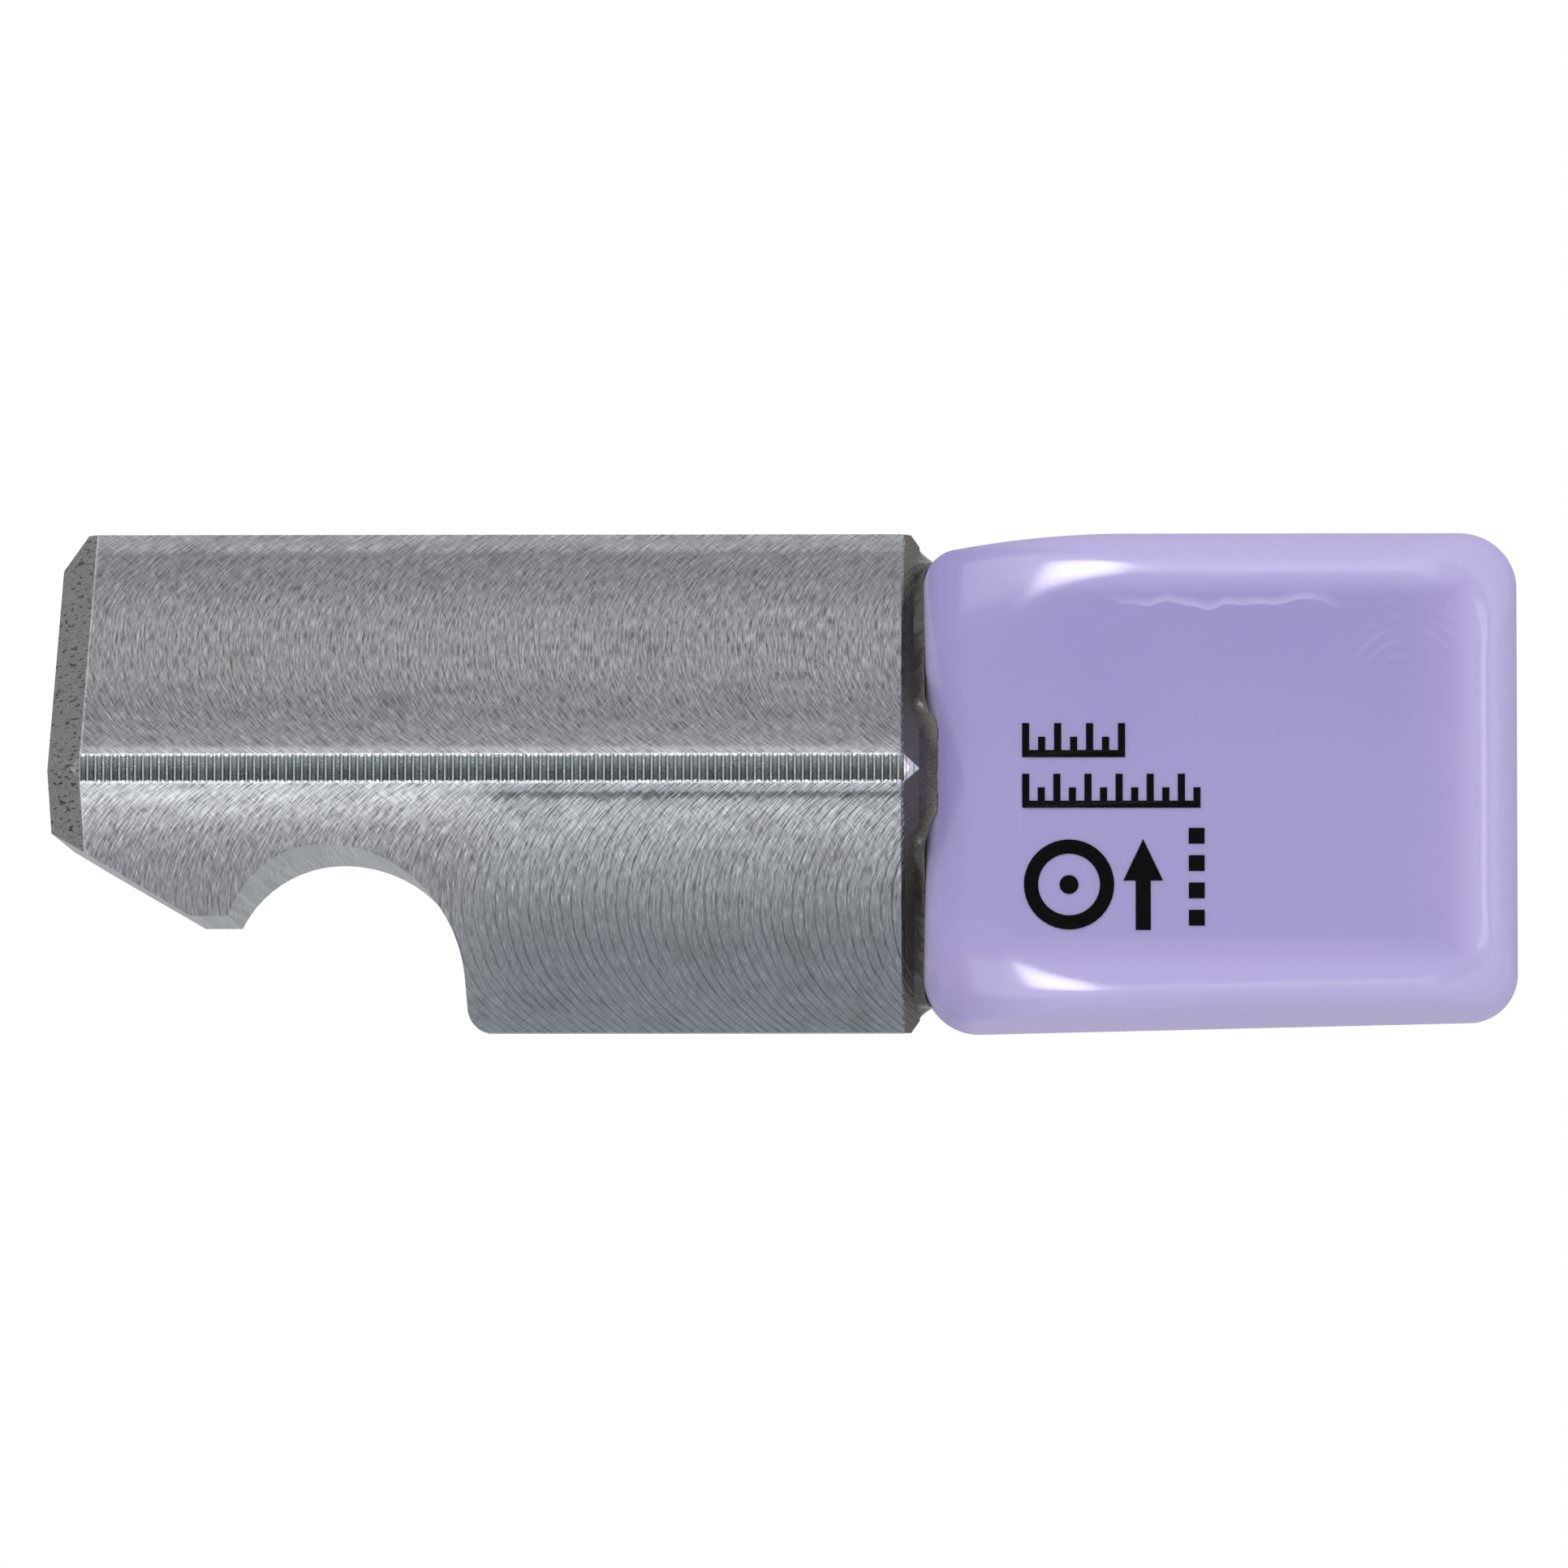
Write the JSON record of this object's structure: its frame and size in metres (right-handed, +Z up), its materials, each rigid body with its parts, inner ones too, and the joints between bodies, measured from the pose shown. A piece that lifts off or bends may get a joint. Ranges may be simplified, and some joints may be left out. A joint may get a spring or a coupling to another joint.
{
  "type": "lithium disilicate milling block",
  "caption": "Rounded glass-ceramic milling block with sunken sides, glued to the end of a square steel mandrel that has a sloped nose and a lock notch.",
  "frame": {"origin": "under the middle of the part, on the surface that it rests on", "axes": "+X along the mandrel from its free end to the block, +Z up with the lock notch underneath, -Y towards the viewer of the picture"},
  "size_m": [0.0372, 0.0128, 0.0128],
  "materials": {
    "steel": "milled",
    "glass_ceramic": "gloss",
    "adhesive": "gloss"
  },
  "bodies": {
    "root": {"mandrel": "steel", "ceramic_block": "glass_ceramic", "adhesive_bond": "adhesive"}
  },
  "joints": []
}
